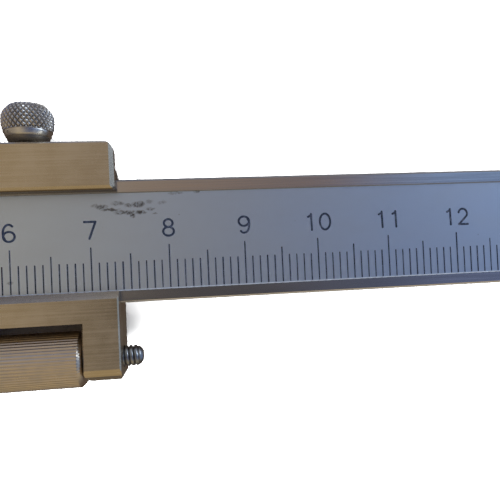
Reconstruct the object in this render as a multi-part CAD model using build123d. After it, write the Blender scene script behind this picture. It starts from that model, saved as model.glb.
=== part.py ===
"""Vernier caliper with a fine-adjustment carriage, 150 mm scale, lying on its back.

X runs along the beam and grows with the scale. Y runs across it, towards the inside jaws
and the lock screws. Z comes out of the graduated face. X = 0 is the zero of the main scale,
Y = 0 the beam's centreline and Z = 0 the backs of the slider and the carriage.
All lengths are in millimetres. The jaws stand open by OPENING.
"""

from build123d import *
import os

# ---------------------------------------------------------------- driving dimensions
OPENING = 16.0              # distance between the measuring faces as modelled

# heights above the resting plane
BACK_WALL = 1.6             # wall of the slider and the carriage behind the beam
BEAM_BACK = 1.7             # back of the beam
BEAM_THICK = 3.6            # beam over its two rails
RAIL_RISE = 0.15            # the rails stand this far above the scale face
LIP_GAP = 0.06              # running gap between a rail and the lip over it
FRONT = 7.2                 # front of the slider and the carriage
MID = 3.7                   # height of the axes of the screws and the threaded rod

# beam
BEAM_HALF = 8.0             # half the beam's width
BEAM_END = 194.0            # free end of the beam
FACE_TOP = 6.35             # upper edge of the recessed scale face
FACE_LOW = -6.45            # lower edge of the recessed scale face
RAIL_SLOPE = 0.12           # width of the slope between a rail and the face
EDGE = 0.25                 # small chamfer along the beam's long edges
JAW_PLANE = -12.02          # measuring face of the fixed jaw
JAW_TIP = -48.0             # tips of the outside jaws
TIP_WIDE = 3.4              # width of an outside jaw at its tip
KNIFE_Z = 3.6               # height of the knife edges at the outside jaws' tips
KNIFE_WIDE = 3.3            # width of their bevels
KNIFE_LONG = 15.0           # length of their bevels
INNER_TIP = 24.0            # tips of the inside jaws
INNER_OFFSET = 6.0          # inside measuring edge, left of the jaw plane
HEAD_LEFT = -34.0           # left edge of the fixed head
JAW_SPLIT = 3.5             # height at which the crossing inside jaws pass each other
JAW_CLEAR = 0.05            # each inside jaw stays this far from that height

# depth rod, in a groove in the beam's back
GROOVE_HALF = 1.6
GROOVE_DEEP = 1.5
ROD_STRIP_HALF = 1.5
ROD_STRIP_LOW = 1.78
ROD_STRIP_HIGH = 3.05
GROOVE_START = -11.0
STRIP_START = 6.5

# channel that the beam runs in, and the blocks above and below it
CHANNEL_LOW = -8.06
CHANNEL_TOP = 8.56
BLOCK_TOP = 12.7
LIP_TOP = 6.55               # lower edge of the upper lip
LIP_TOP_BEVEL = 0.5
LIP_LOW = -6.4              # upper edge of the lower lip
LIP_LOW_BEVEL = 0.85
GIB_THICK = 0.36
GIB_LOW = 8.06
GIB_Z = (2.1, 5.0)
GIB_HOOK = 1.35             # height of the carriage spring's turned-up ends
END_RELIEF = 0.8            # the upper block is set back this far at its ends, behind its front plate
RELIEF_Z = 5.2              # back of that front plate

# carriage
CAR_LEFT = 51.0
CAR_RIGHT = 73.5
CAR_LOW = -17.6
NUT_SLOT = (55.2, 68.88)
NUT_SLOT_TOP = -10.2
SLOT_BEVEL = 0.15           # bevel along the slot's sides
SLOT_CORNER = 1.1           # radius at the slot's mouth
TOP_CORNER = 1.2            # radius of the carriage's upper corners
LOW_CORNER = 0.25           # radius of its lower corners
TOP_CHAMFER = (0.5, 0.7)    # broken ends of the upper block: along X, along Z
LOW_CHAMFER = 0.18          # broken ends of the lower block
NUT = (55.4, 68.68)          # ends of the fine-adjustment nut
NUT_R = 3.65
NUT_CHAMFER = 0.55
ROD_Y = -15.1               # axis of the threaded rod
ROD_R = 1.36
ROD_START = 37.0
ROD_END = 76.0
ROD_HOLE_R = 1.43

# lock screws
CAR_SCREW_X = 62.4
SLIDER_SCREW_X = 25.0
SHANK_R = 1.5
SHANK_HOLE_R = 1.55
PAD_LOW = 8.8
PAD_HIGH = 9.9
NECK_R = 1.95
HEAD_R = 3.3

# slider
SLIDER_LEFT = JAW_PLANE + OPENING + 0.02
SLIDER_RIGHT = 46.0
SLIDER_LOW = -13.5
WINDOW = (10.0, 41.0)
BOSS_LEFT = 34.0
BOSS_LOW = -18.2
BOSS_Z = (1.6, 6.2)
VERNIER = (11.0, 40.0)
VERNIER_SEAT = 6.0
VERNIER_LOW = -12.2
COVER_HALF = 12.2
COVER_SCREWS_X = (8.5, 42.0)
COVER_SCREWS_Y = 10.4
SMALL_SCREW_R = 0.8
SMALL_HEAD_R = 1.5
SMALL_HEAD_DEEP = 0.75
SET_SCREWS_X = (14.0, 36.0)
SET_SCREW_R = 1.2
VERNIER_SCREWS_X = (13.2, 37.8)
VERNIER_SCREWS_Y = -10.7

# end stop
STOP_LEFT = 188.5
STOP_THICK = 0.95
STOP_SCREWS_Y = 5.0
STOP_SCREW_X = 191.2

RAIL_Z = BEAM_BACK + BEAM_THICK
FACE_Z = RAIL_Z - RAIL_RISE
LIP_Z = RAIL_Z + LIP_GAP
FIT = 0.02                  # pieces fixed to each other meet with this much room round them


# ---------------------------------------------------------------- simple shapes
def block(x0, x1, y0, y1, z0, z1):
    """A box given by its six faces."""
    centre = Pos((x0 + x1) / 2, (y0 + y1) / 2, (z0 + z1) / 2)
    return centre * Box(x1 - x0, y1 - y0, z1 - z0)


def along_x(points, x0, x1):
    """A prism along X from an outline of (y, z) points."""
    face = Plane.YZ.offset(x0) * make_face(Polyline(*points, close=True))
    return extrude(face, amount=x1 - x0, dir=(1, 0, 0))


def along_y(points, y0, y1):
    """A prism along Y from an outline of (x, z) points."""
    corners = [(x, y0, z) for x, z in points]
    face = make_face(Polyline(*corners, close=True))
    return extrude(face, amount=y1 - y0, dir=(0, 1, 0))


def along_z(points, z0, z1):
    """A prism along Z from an outline of (x, y) points."""
    face = Pos(0, 0, z0) * make_face(Polyline(*points, close=True))
    return extrude(face, amount=z1 - z0, dir=(0, 0, 1))


def bar_x(y, z, radius, x0, x1):
    """A round bar along X."""
    return Pos((x0 + x1) / 2, y, z) * Rot(0, 90, 0) * Cylinder(radius, x1 - x0)


def bar_y(x, z, radius, y0, y1):
    """A round bar along Y."""
    return Pos(x, (y0 + y1) / 2, z) * Rot(90, 0, 0) * Cylinder(radius, y1 - y0)


def bar_z(x, y, radius, z0, z1):
    """A round bar along Z."""
    return Pos(x, y, (z0 + z1) / 2) * Cylinder(radius, z1 - z0)


def turned_y(x, z, profile):
    """A turned piece on an axis along Y, from (radius, y) points."""
    face = make_face(Polyline(*[(x + r, y, z) for r, y in profile], close=True))
    return revolve(face, Axis((x, 0, z), (0, 1, 0)), 360)


def turned_x(y, z, profile):
    """A turned piece on an axis along X, from (x, radius) points."""
    face = make_face(Polyline(*[(x, y + r, z) for x, r in profile], close=True))
    return revolve(face, Axis((0, y, z), (1, 0, 0)), 360)


def countersunk_up(x, y, tip_z):
    """A small slotted screw driven in from the back, its head flush near Z = 0."""
    head = Pos(x, y, 0.05 + SMALL_HEAD_DEEP / 2) * Cone(SMALL_HEAD_R, SMALL_SCREW_R, SMALL_HEAD_DEEP)
    slot = block(x - 2, x + 2, y - 0.16, y + 0.16, 0, 0.35)
    return head + bar_z(x, y, SMALL_SCREW_R, 0.05 + SMALL_HEAD_DEEP, tip_z) - slot


def countersunk_hole_up(x, y, depth_z):
    """The hole that such a screw sits in."""
    deep = SMALL_HEAD_DEEP + 0.1
    head = Pos(x, y, deep / 2) * Cone(SMALL_HEAD_R + 0.1, SMALL_SCREW_R + FIT, deep)
    return head + bar_z(x, y, SMALL_SCREW_R + FIT, deep, depth_z)


# ---------------------------------------------------------------- beam and fixed head
def beam_outline():
    """Cross-section of the beam: a recessed scale face between two raised rails."""
    return [
        (-BEAM_HALF + EDGE, BEAM_BACK),
        (BEAM_HALF - EDGE, BEAM_BACK),
        (BEAM_HALF, BEAM_BACK + EDGE),
        (BEAM_HALF, RAIL_Z - EDGE),
        (BEAM_HALF - EDGE, RAIL_Z),
        (FACE_TOP, RAIL_Z),
        (FACE_TOP - RAIL_SLOPE, FACE_Z),
        (FACE_LOW + RAIL_SLOPE, FACE_Z),
        (FACE_LOW, RAIL_Z),
        (-BEAM_HALF + EDGE, RAIL_Z),
        (-BEAM_HALF, RAIL_Z - EDGE),
        (-BEAM_HALF, BEAM_BACK + EDGE),
    ]


def knife_cut(plane_x, side):
    """Wedge that thins the front of an outside jaw's tip to a knife edge at its measuring face."""
    outline = [
        (plane_x - side * 0.01, KNIFE_Z),
        (plane_x - side * 0.01, RAIL_Z + 1),
        (plane_x + side * KNIFE_WIDE, RAIL_Z + 1),
        (plane_x + side * KNIFE_WIDE, RAIL_Z),
    ]
    return along_y(outline, JAW_TIP - 1, JAW_TIP + KNIFE_LONG)


def jaw_back(plane_x, side, start):
    """The hollow curve up the back of an outside jaw, from its tip to the start of its root."""
    tip = (plane_x + side * TIP_WIDE, JAW_TIP)
    middle = (plane_x + side * 7.6, -33.0)
    return ThreePointArc(tip, middle, start)


def fixed_head():
    """The fixed head with its outside jaw below and the root of its inside jaw above."""
    root = (HEAD_LEFT + 3.0, -15.0)
    shoulder = (HEAD_LEFT + 3.0, BEAM_HALF)
    edges = [
        Line((JAW_PLANE, BEAM_HALF), (JAW_PLANE, JAW_TIP)),
        Line((JAW_PLANE, JAW_TIP), (JAW_PLANE - TIP_WIDE, JAW_TIP)),
        jaw_back(JAW_PLANE, -1, root),
        ThreePointArc(root, (HEAD_LEFT + 0.8, -12.6), (HEAD_LEFT, -9.0)),
        Line((HEAD_LEFT, -9.0), (HEAD_LEFT, BEAM_HALF - 3.0)),
        ThreePointArc((HEAD_LEFT, BEAM_HALF - 3.0), (HEAD_LEFT + 0.88, BEAM_HALF - 0.88), shoulder),
        Line(shoulder, (JAW_PLANE, BEAM_HALF)),
    ]
    head = extrude(Pos(0, 0, BEAM_BACK) * make_face(edges), amount=BEAM_THICK, dir=(0, 0, 1))
    relief = bar_z(JAW_PLANE, -BEAM_HALF - 0.5, 0.9, BEAM_BACK - 1, RAIL_Z + 1)
    return head - knife_cut(JAW_PLANE, -1) - relief


def fixed_inner_jaw():
    """The fixed inside jaw: the half nearer the back, with its edge facing left."""
    edge_x = JAW_PLANE - INNER_OFFSET
    outline = [
        (edge_x, BEAM_HALF - 1),
        (edge_x, INNER_TIP),
        (edge_x + 1.0, INNER_TIP),
        (JAW_PLANE - 1.2, 14.0),
        (JAW_PLANE - 0.35, 10.5),
        (JAW_PLANE - 0.35, BEAM_HALF - 1),
    ]
    jaw = along_z(outline, BEAM_BACK, JAW_SPLIT - JAW_CLEAR)
    bevel = [(edge_x - 1, BEAM_BACK - 1), (edge_x + 2.0, BEAM_BACK - 1), (edge_x + 2.0, BEAM_BACK)]
    bevel += [(edge_x, 2.9), (edge_x - 1, 2.9)]
    return jaw - along_y(bevel, BEAM_HALF + 1.5, INNER_TIP + 1)


def main_beam():
    """The beam with the fixed head and jaws, one piece of hardened steel."""
    beam = along_x(beam_outline(), JAW_PLANE - 4, BEAM_END)
    groove_top = BEAM_BACK + GROOVE_DEEP
    groove = block(GROOVE_START, BEAM_END + 1, -GROOVE_HALF, GROOVE_HALF, BEAM_BACK - 1, groove_top)
    # the far corners of the beam are rounded off in plan
    plan = [
        (HEAD_LEFT - 1, -60),
        (BEAM_END - 1.0, -60),
        (BEAM_END - 1.0, -BEAM_HALF),
        (BEAM_END, -BEAM_HALF + 1.0),
        (BEAM_END, BEAM_HALF - 1.0),
        (BEAM_END - 1.0, BEAM_HALF),
        (BEAM_END - 1.0, 60),
        (HEAD_LEFT - 1, 60),
    ]
    body = beam + fixed_head() + fixed_inner_jaw() - groove
    body = body & along_z(plan, -5, 20)
    for y in (-STOP_SCREWS_Y, STOP_SCREWS_Y):
        body -= bar_z(STOP_SCREW_X, y, SMALL_SCREW_R + FIT, BEAM_BACK - 1, BEAM_BACK + 2.0)
    return body


def end_stop():
    """Plate across the beam's free end that stops the carriage and keeps the depth rod in its groove."""
    plate = block(STOP_LEFT, BEAM_END - 0.3, -7.2, 7.2, BEAM_BACK - STOP_THICK, BEAM_BACK)
    plate = chamfer(plate.edges().filter_by(Axis.Z), 0.6)
    for side in (-1, 1):
        hole = countersunk_hole_up(STOP_SCREW_X, side * STOP_SCREWS_Y, 3.0)
        plate -= Pos(0, 0, BEAM_BACK - STOP_THICK) * hole
    return plate


def end_stop_screws():
    """The two screws of the end stop."""
    lift = Pos(0, 0, BEAM_BACK - STOP_THICK)
    screws = [lift * countersunk_up(STOP_SCREW_X, side * STOP_SCREWS_Y, 2.6) for side in (-1, 1)]
    return Compound(screws)


# ---------------------------------------------------------------- fine-adjustment carriage
def carriage_section():
    """Cross-section of the carriage: a wall behind the beam, blocks above and below, lips in front."""
    return [
        (BLOCK_TOP, 1.2),
        (BLOCK_TOP - 1.2, 0),
        (CAR_LOW + 0.4, 0),
        (CAR_LOW, 0.4),
        (CAR_LOW, 6.0),
        (CAR_LOW + 0.62, 6.75),
        (CAR_LOW + 1.5, FRONT),
        (LIP_LOW - LIP_LOW_BEVEL, FRONT),
        (LIP_LOW, FRONT - LIP_LOW_BEVEL),
        (LIP_LOW, LIP_Z),
        (CHANNEL_LOW, LIP_Z),
        (CHANNEL_LOW, BACK_WALL),
        (CHANNEL_TOP, BACK_WALL),
        (CHANNEL_TOP, LIP_Z),
        (LIP_TOP, LIP_Z),
        (LIP_TOP, FRONT - LIP_TOP_BEVEL),
        (LIP_TOP + LIP_TOP_BEVEL, FRONT),
        (BLOCK_TOP - 0.25, FRONT),
        (BLOCK_TOP, FRONT - 0.25),
    ]


def carriage_plan():
    """Front view of the carriage: round corners, and the nut's slot open at the bottom."""
    outline = Rectangle(CAR_RIGHT - CAR_LEFT, BLOCK_TOP - CAR_LOW)
    outline = Pos((CAR_LEFT + CAR_RIGHT) / 2, (CAR_LOW + BLOCK_TOP) / 2) * outline
    outline = fillet([v for v in outline.vertices() if v.Y > 0], TOP_CORNER)
    outline = fillet([v for v in outline.vertices() if v.Y < CAR_LOW + 0.01], LOW_CORNER)
    slot = Rectangle(NUT_SLOT[1] - NUT_SLOT[0], NUT_SLOT_TOP - CAR_LOW)
    outline -= Pos((NUT_SLOT[0] + NUT_SLOT[1]) / 2, (CAR_LOW + NUT_SLOT_TOP) / 2) * slot
    low = [v for v in outline.vertices() if abs(v.Y - CAR_LOW) < 0.01]
    mouth = [v for v in low if NUT_SLOT[0] - 0.1 < v.X < NUT_SLOT[1] + 0.1]
    return fillet(mouth, SLOT_CORNER)


def carriage_ends(along, deep, low, high):
    """A block as long as the carriage with its end edges broken, which trims the carriage between two Y."""
    outline = [
        (CAR_LEFT + along, 0),
        (CAR_RIGHT - along, 0),
        (CAR_RIGHT, deep),
        (CAR_RIGHT, FRONT - deep),
        (CAR_RIGHT - along, FRONT),
        (CAR_LEFT + along, FRONT),
        (CAR_LEFT, FRONT - deep),
        (CAR_LEFT, deep),
    ]
    return along_y(outline, low, high)


def carriage_body():
    """The carriage that is clamped to the beam and holds the fine-adjustment nut in its slot."""
    body = along_x(carriage_section(), CAR_LEFT, CAR_RIGHT)
    ends = carriage_ends(TOP_CHAMFER[0], TOP_CHAMFER[1], 0, BLOCK_TOP + 1)
    ends += carriage_ends(LOW_CHAMFER, LOW_CHAMFER, CAR_LOW - 1, 0)
    body = body & ends
    body = body & extrude(Pos(0, 0, -1) * carriage_plan(), amount=FRONT + 2)
    bevel = [
        (NUT_SLOT[0] - SLOT_BEVEL, FRONT + 0.01),
        (NUT_SLOT[0], FRONT - SLOT_BEVEL),
        (NUT_SLOT[1], FRONT - SLOT_BEVEL),
        (NUT_SLOT[1] + SLOT_BEVEL, FRONT + 0.01),
    ]
    body -= along_y(bevel, CAR_LOW - 1, NUT_SLOT_TOP)
    body -= block(CAR_LEFT - 1, CAR_LEFT + END_RELIEF, CHANNEL_TOP - 0.3, BLOCK_TOP + 1, -1, RELIEF_Z)
    body -= block(CAR_RIGHT - END_RELIEF, CAR_RIGHT + 1, CHANNEL_TOP - 0.3, BLOCK_TOP + 1, -1, RELIEF_Z)
    body -= bar_x(ROD_Y, MID, ROD_HOLE_R, CAR_LEFT - 1, CAR_RIGHT + 1)
    body -= bar_y(CAR_SCREW_X, MID, SHANK_HOLE_R, CHANNEL_TOP - 0.5, BLOCK_TOP + 1)
    return body


def carriage_gib_spring():
    """A leaf spring above the beam's upper edge, its ends curled up in the upper block's reliefs."""
    top = GIB_LOW + GIB_THICK
    hook = top + GIB_HOOK
    right = [
        (CAR_RIGHT - 0.3, GIB_LOW),
        (CAR_RIGHT, GIB_LOW + 0.24),
        (CAR_RIGHT, GIB_LOW + 0.5),
        (CAR_RIGHT - 0.33, hook),
        (CAR_RIGHT - 0.68, hook),
        (CAR_RIGHT - 0.4, GIB_LOW + 0.56),
        (CAR_RIGHT - 0.5, top),
    ]
    left = [(CAR_LEFT + CAR_RIGHT - x, y) for x, y in reversed(right)]
    outline = right + left
    return along_z(outline, GIB_Z[0], GIB_Z[1])


def lock_screw(x):
    """A finger screw with a barrel head, on an axis along Y."""
    profile = [
        (0, PAD_HIGH),
        (SHANK_R - 0.2, PAD_HIGH),
        (SHANK_R, PAD_HIGH + 0.2),
        (SHANK_R, 12.95),
        (NECK_R, 13.0),
        (NECK_R + 0.4, 13.3),
        (NECK_R + 0.65, 13.65),
        (HEAD_R - 0.65, 13.9),
        (HEAD_R - 0.5, 14.05),
        (HEAD_R - 0.18, 14.65),
        (HEAD_R - 0.08, 14.75),
        (HEAD_R, 15.6),
        (HEAD_R, 16.3),
        (HEAD_R - 0.08, 16.9),
        (HEAD_R - 0.28, 17.4),
        (HEAD_R - 0.55, 17.75),
        (HEAD_R - 0.9, 18.0),
        (HEAD_R - 1.4, 18.15),
        (HEAD_R - 2.1, 18.24),
        (0, 18.27),
    ]
    return turned_y(x, MID, profile)


def lock_pad(x):
    """The brass pad under a lock screw's tip."""
    profile = [(0, PAD_LOW), (SHANK_R - 0.25, PAD_LOW), (SHANK_R - 0.02, PAD_LOW + 0.2)]
    profile += [(SHANK_R - 0.02, PAD_HIGH), (0, PAD_HIGH)]
    return turned_y(x, MID, profile)


def fine_adjust_nut():
    """The long round nut that draws the slider towards the carriage."""
    profile = [
        (NUT[0], ROD_R + 0.05),
        (NUT[0], NUT_R - NUT_CHAMFER),
        (NUT[0] + NUT_CHAMFER, NUT_R),
        (NUT[1] - NUT_CHAMFER, NUT_R),
        (NUT[1], NUT_R - NUT_CHAMFER),
        (NUT[1], ROD_R + 0.05),
    ]
    return turned_x(ROD_Y, MID, profile)


# ---------------------------------------------------------------- slider
def slider_window():
    """The window over the scale, opening out towards the front."""
    mid_x = (WINDOW[0] + WINDOW[1]) / 2
    mid_y = (LIP_LOW + LIP_TOP) / 2
    outline = Rectangle(WINDOW[1] - WINDOW[0], LIP_TOP - LIP_LOW)
    return extrude(Pos(mid_x, mid_y, LIP_Z - 0.2) * outline, amount=FRONT - LIP_Z + 0.4, taper=-22)


def moving_outer_jaw():
    """The outside jaw that hangs from the slider."""
    root = (SLIDER_LEFT + 21.0, SLIDER_LOW)
    edges = [
        Line((SLIDER_LEFT, SLIDER_LOW + 1), (SLIDER_LEFT, JAW_TIP)),
        Line((SLIDER_LEFT, JAW_TIP), (SLIDER_LEFT + TIP_WIDE, JAW_TIP)),
        jaw_back(SLIDER_LEFT, 1, root),
        Line(root, (SLIDER_LEFT + 21.0, SLIDER_LOW + 1)),
        Line((SLIDER_LEFT + 21.0, SLIDER_LOW + 1), (SLIDER_LEFT, SLIDER_LOW + 1)),
    ]
    jaw = extrude(Pos(0, 0, BEAM_BACK) * make_face(edges), amount=BEAM_THICK, dir=(0, 0, 1))
    return jaw - knife_cut(SLIDER_LEFT, 1)


def moving_inner_jaw():
    """The inside jaw that reaches over the fixed one: the half nearer the front."""
    edge_x = SLIDER_LEFT - INNER_OFFSET
    low = BEAM_HALF + 0.6
    outline = [
        (SLIDER_LEFT + 1, low),
        (SLIDER_LEFT + 1, 12.0),
        (edge_x, 12.6),
        (edge_x, INNER_TIP),
        (edge_x - 1.0, INNER_TIP),
        (edge_x - 4.8, 14.0),
        (edge_x - 5.6, 10.5),
        (edge_x - 5.6, low),
    ]
    jaw = along_z(outline, JAW_SPLIT + JAW_CLEAR, RAIL_Z)
    bevel = [(edge_x + 1, RAIL_Z + 1), (edge_x - 2.0, RAIL_Z + 1), (edge_x - 2.0, RAIL_Z)]
    bevel += [(edge_x, 4.1), (edge_x + 1, 4.1)]
    return jaw - along_y(bevel, 12.6, INNER_TIP + 1)


def slider_frame():
    """The slider: a frame round the beam with a window, the moving jaws and the threaded rod's boss."""
    section = [
        (BLOCK_TOP, BACK_WALL),
        (BLOCK_TOP, FRONT - 0.25),
        (BLOCK_TOP - 0.25, FRONT),
        (SLIDER_LOW + 0.6, FRONT),
        (SLIDER_LOW, FRONT - 0.6),
        (SLIDER_LOW, BACK_WALL),
    ]
    body = along_x(section, SLIDER_LEFT, SLIDER_RIGHT)
    body += block(BOSS_LEFT, SLIDER_RIGHT, BOSS_LOW, SLIDER_LOW + 1, BOSS_Z[0], BOSS_Z[1])
    ends = [
        (SLIDER_LEFT, BACK_WALL),
        (SLIDER_RIGHT, BACK_WALL),
        (SLIDER_RIGHT, FRONT - 0.4),
        (SLIDER_RIGHT - 0.4, FRONT),
        (SLIDER_LEFT + 0.4, FRONT),
        (SLIDER_LEFT, FRONT - 0.4),
    ]
    body = body & along_y(ends, BOSS_LOW - 1, BLOCK_TOP + 1)
    boss_end = [(SLIDER_RIGHT, BOSS_LOW), (SLIDER_RIGHT, BOSS_LOW + 0.8), (SLIDER_RIGHT - 0.8, BOSS_LOW)]
    boss_start = [(BOSS_LEFT, BOSS_LOW), (BOSS_LEFT, SLIDER_LOW), (BOSS_LEFT + 3.5, BOSS_LOW)]
    body -= along_z(boss_end, -1, FRONT + 1)
    body -= along_z(boss_start, -1, FRONT + 1)
    body += moving_outer_jaw()
    body += moving_inner_jaw()
    body -= block(SLIDER_LEFT - 1, SLIDER_RIGHT + 1, CHANNEL_LOW, CHANNEL_TOP, -1, LIP_Z)
    body -= slider_window()
    seat = (VERNIER[0] - FIT, VERNIER[1] + FIT, VERNIER_LOW - FIT, LIP_LOW + 1)
    body -= block(*seat, VERNIER_SEAT, FRONT + 1)
    body -= bar_x(ROD_Y, MID, ROD_R, ROD_START, SLIDER_RIGHT + 1)
    body -= bar_z(SLIDER_RIGHT - 4.0, ROD_Y, SMALL_SCREW_R, BOSS_Z[0] - 1, BOSS_Z[1] + 1)
    body -= bar_y(SLIDER_SCREW_X, MID, SHANK_HOLE_R, CHANNEL_TOP - 0.5, BLOCK_TOP + 1)
    for x in SET_SCREWS_X:
        body -= bar_y(x, MID, SET_SCREW_R + FIT, CHANNEL_TOP - 0.5, BLOCK_TOP + 1)
    for x in COVER_SCREWS_X:
        for side in (-1, 1):
            body -= bar_z(x, side * COVER_SCREWS_Y, SMALL_SCREW_R + FIT, 0, 4.4)
    for x in VERNIER_SCREWS_X:
        body -= bar_z(x, VERNIER_SCREWS_Y, SMALL_SCREW_R + FIT, 3.6, FRONT + 1)
    return body


def slider_gib_strip():
    """The flat strip that the set screws press against the beam's upper edge."""
    return block(SLIDER_LEFT + 0.3, SLIDER_RIGHT - 0.3, GIB_LOW, GIB_LOW + GIB_THICK, GIB_Z[0], GIB_Z[1])


def slider_back_cover():
    """The plate that closes the slider behind the beam."""
    cover = block(SLIDER_LEFT + 0.5, SLIDER_RIGHT - 0.3, -COVER_HALF, COVER_HALF, 0, BACK_WALL)
    cover = chamfer(cover.edges().filter_by(Axis.Z), 1.2)
    cover = chamfer(cover.faces().sort_by(Axis.Z)[0].edges(), 0.4)
    for x in COVER_SCREWS_X:
        for side in (-1, 1):
            cover -= countersunk_hole_up(x, side * COVER_SCREWS_Y, 4.0)
    return cover - countersunk_hole_up(COVER_SCREWS_X[0], 0, 4.0)


def back_cover_screws():
    """The four screws of the slider's back cover."""
    places = [(x, side * COVER_SCREWS_Y) for x in COVER_SCREWS_X for side in (-1, 1)]
    return Compound([countersunk_up(x, y, 4.2) for x, y in places])


def depth_rod():
    """The thin bar in the beam's groove that comes out at the far end as the jaws open."""
    tip = BEAM_END + OPENING
    outline = [
        (STRIP_START, -ROD_STRIP_HALF),
        (tip - 2.0, -ROD_STRIP_HALF),
        (tip, -ROD_STRIP_HALF + 1.1),
        (tip, ROD_STRIP_HALF),
        (STRIP_START, ROD_STRIP_HALF),
    ]
    strip = along_z(outline, ROD_STRIP_LOW, ROD_STRIP_HIGH)
    return strip - bar_z(COVER_SCREWS_X[0], 0, SMALL_SCREW_R + FIT, 0, 4)


def depth_rod_screw():
    """The screw that fixes the depth rod to the back cover."""
    return countersunk_up(COVER_SCREWS_X[0], 0, ROD_STRIP_HIGH - 0.1)


def vernier_plate():
    """The plate with the vernier scale, sloping down to the main scale."""
    section = [
        (VERNIER_LOW, VERNIER_SEAT),
        (LIP_LOW - 0.02, VERNIER_SEAT),
        (LIP_LOW - 0.02, VERNIER_SEAT + 0.15),
        (LIP_LOW - 2.6, FRONT),
        (VERNIER_LOW, FRONT),
    ]
    plate = along_x(section, VERNIER[0], VERNIER[1])
    for x in VERNIER_SCREWS_X:
        plate -= bar_z(x, VERNIER_SCREWS_Y, SMALL_SCREW_R + FIT, 3, FRONT + 1)
        plate -= Pos(x, VERNIER_SCREWS_Y, FRONT - 0.25) * Cone(0.95, 1.5, 0.6)
    return plate


def vernier_screws():
    """The two slotted screws of the vernier plate."""
    screws = []
    for x in VERNIER_SCREWS_X:
        head = Pos(x, VERNIER_SCREWS_Y, FRONT - 0.27) * Cone(0.85, 1.35, 0.5)
        shank = bar_z(x, VERNIER_SCREWS_Y, SMALL_SCREW_R, 4.0, FRONT - 0.5)
        slot = block(x - 2, x + 2, VERNIER_SCREWS_Y - 0.16, VERNIER_SCREWS_Y + 0.16, FRONT - 0.3, FRONT + 1)
        screws.append(head + shank - slot)
    return Compound(screws)


def gib_set_screws():
    """The two headless screws that press the slider's gib against the beam."""
    screws = []
    for x in SET_SCREWS_X:
        profile = [(0, GIB_LOW + GIB_THICK), (0.6, GIB_LOW + GIB_THICK), (SET_SCREW_R, 9.0)]
        profile += [(SET_SCREW_R, 12.4), (0, 12.4)]
        slot = block(x - 2, x + 2, 11.9, 13, MID - 0.16, MID + 0.16)
        screws.append(turned_y(x, MID, profile) - slot)
    return Compound(screws)


def fine_adjust_rod():
    """The threaded rod fixed in the slider's boss."""
    profile = [
        (ROD_START, 0),
        (ROD_START, ROD_R - 0.3),
        (ROD_START + 0.3, ROD_R),
        (ROD_END - 0.45, ROD_R),
        (ROD_END - 0.12, ROD_R - 0.35),
        (ROD_END, ROD_R - 0.8),
        (ROD_END, 0),
    ]
    rod = turned_x(ROD_Y, MID, profile)
    return rod - bar_z(SLIDER_RIGHT - 4.0, ROD_Y, SMALL_SCREW_R, 0, FRONT)


def rod_pin():
    """The cross pin that holds the threaded rod in the boss."""
    return bar_z(SLIDER_RIGHT - 4.0, ROD_Y, SMALL_SCREW_R, BOSS_Z[0] + 0.1, BOSS_Z[1] - 0.05)


# ---------------------------------------------------------------- write every piece
PIECES = {
    "main_beam": main_beam(),
    "end_stop": end_stop(),
    "end_stop_screws": end_stop_screws(),
    "carriage_body": carriage_body(),
    "carriage_gib_spring": carriage_gib_spring(),
    "carriage_lock_screw": lock_screw(CAR_SCREW_X),
    "carriage_lock_pad": lock_pad(CAR_SCREW_X),
    "fine_adjust_nut": fine_adjust_nut(),
    "slider_frame": slider_frame(),
    "slider_back_cover": slider_back_cover(),
    "back_cover_screws": back_cover_screws(),
    "vernier_plate": vernier_plate(),
    "vernier_screws": vernier_screws(),
    "slider_gib_strip": slider_gib_strip(),
    "gib_set_screws": gib_set_screws(),
    "slider_lock_screw": lock_screw(SLIDER_SCREW_X),
    "slider_lock_pad": lock_pad(SLIDER_SCREW_X),
    "depth_rod": depth_rod(),
    "depth_rod_screw": depth_rod_screw(),
    "fine_adjust_rod": fine_adjust_rod(),
    "rod_pin": rod_pin(),
}

os.makedirs("parts", exist_ok=True)
for name, piece in PIECES.items():
    export_step(piece, f"parts/{name}.step")
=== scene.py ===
"""Vernier caliper with a fine-adjustment carriage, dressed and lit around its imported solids.

Sizes in the classes are in millimetres, as on the drawing. They become metres where a mesh, a light or the
camera is handed to Blender. X runs along the beam from the scale's zero, Y across it towards the lock screws,
and Z out of the face.
"""

import logging
import math
import random
from collections.abc import Callable, Mapping, Sequence
from dataclasses import dataclass, field
from enum import Enum
from typing import Protocol

import bpy
from mathutils import Matrix, Vector


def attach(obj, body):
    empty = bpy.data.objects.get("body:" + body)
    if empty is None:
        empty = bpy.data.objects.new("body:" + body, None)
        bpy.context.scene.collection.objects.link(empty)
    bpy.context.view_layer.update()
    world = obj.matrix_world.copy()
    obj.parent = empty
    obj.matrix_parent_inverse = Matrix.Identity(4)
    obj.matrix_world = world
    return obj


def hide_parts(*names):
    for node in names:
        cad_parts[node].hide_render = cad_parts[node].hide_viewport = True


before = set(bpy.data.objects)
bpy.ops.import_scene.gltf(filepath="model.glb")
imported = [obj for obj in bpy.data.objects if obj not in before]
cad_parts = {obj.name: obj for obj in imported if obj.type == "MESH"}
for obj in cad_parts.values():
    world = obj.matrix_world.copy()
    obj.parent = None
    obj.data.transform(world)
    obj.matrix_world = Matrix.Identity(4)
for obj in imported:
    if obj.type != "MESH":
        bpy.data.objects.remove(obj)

LOG = logging.getLogger("caliper")
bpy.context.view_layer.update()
MM = 0.001

# Sizes that several pieces share, in millimetres. All screws and the rod have their axes at one height.
FACE_HEIGHT = 5.15
AXIS_HEIGHT = 3.7
ROD_Y = -15.1
CARRIAGE_ENDS = (51.0, 73.5)
CARRIAGE_SCREW_X = 62.4
SLIDER_SCREW_X = 25.0

Colour = tuple[float, float, float]
Point = tuple[float, float, float]
Flat = tuple[float, float]
Socket = bpy.types.NodeSocket
Material = bpy.types.Material


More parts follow.
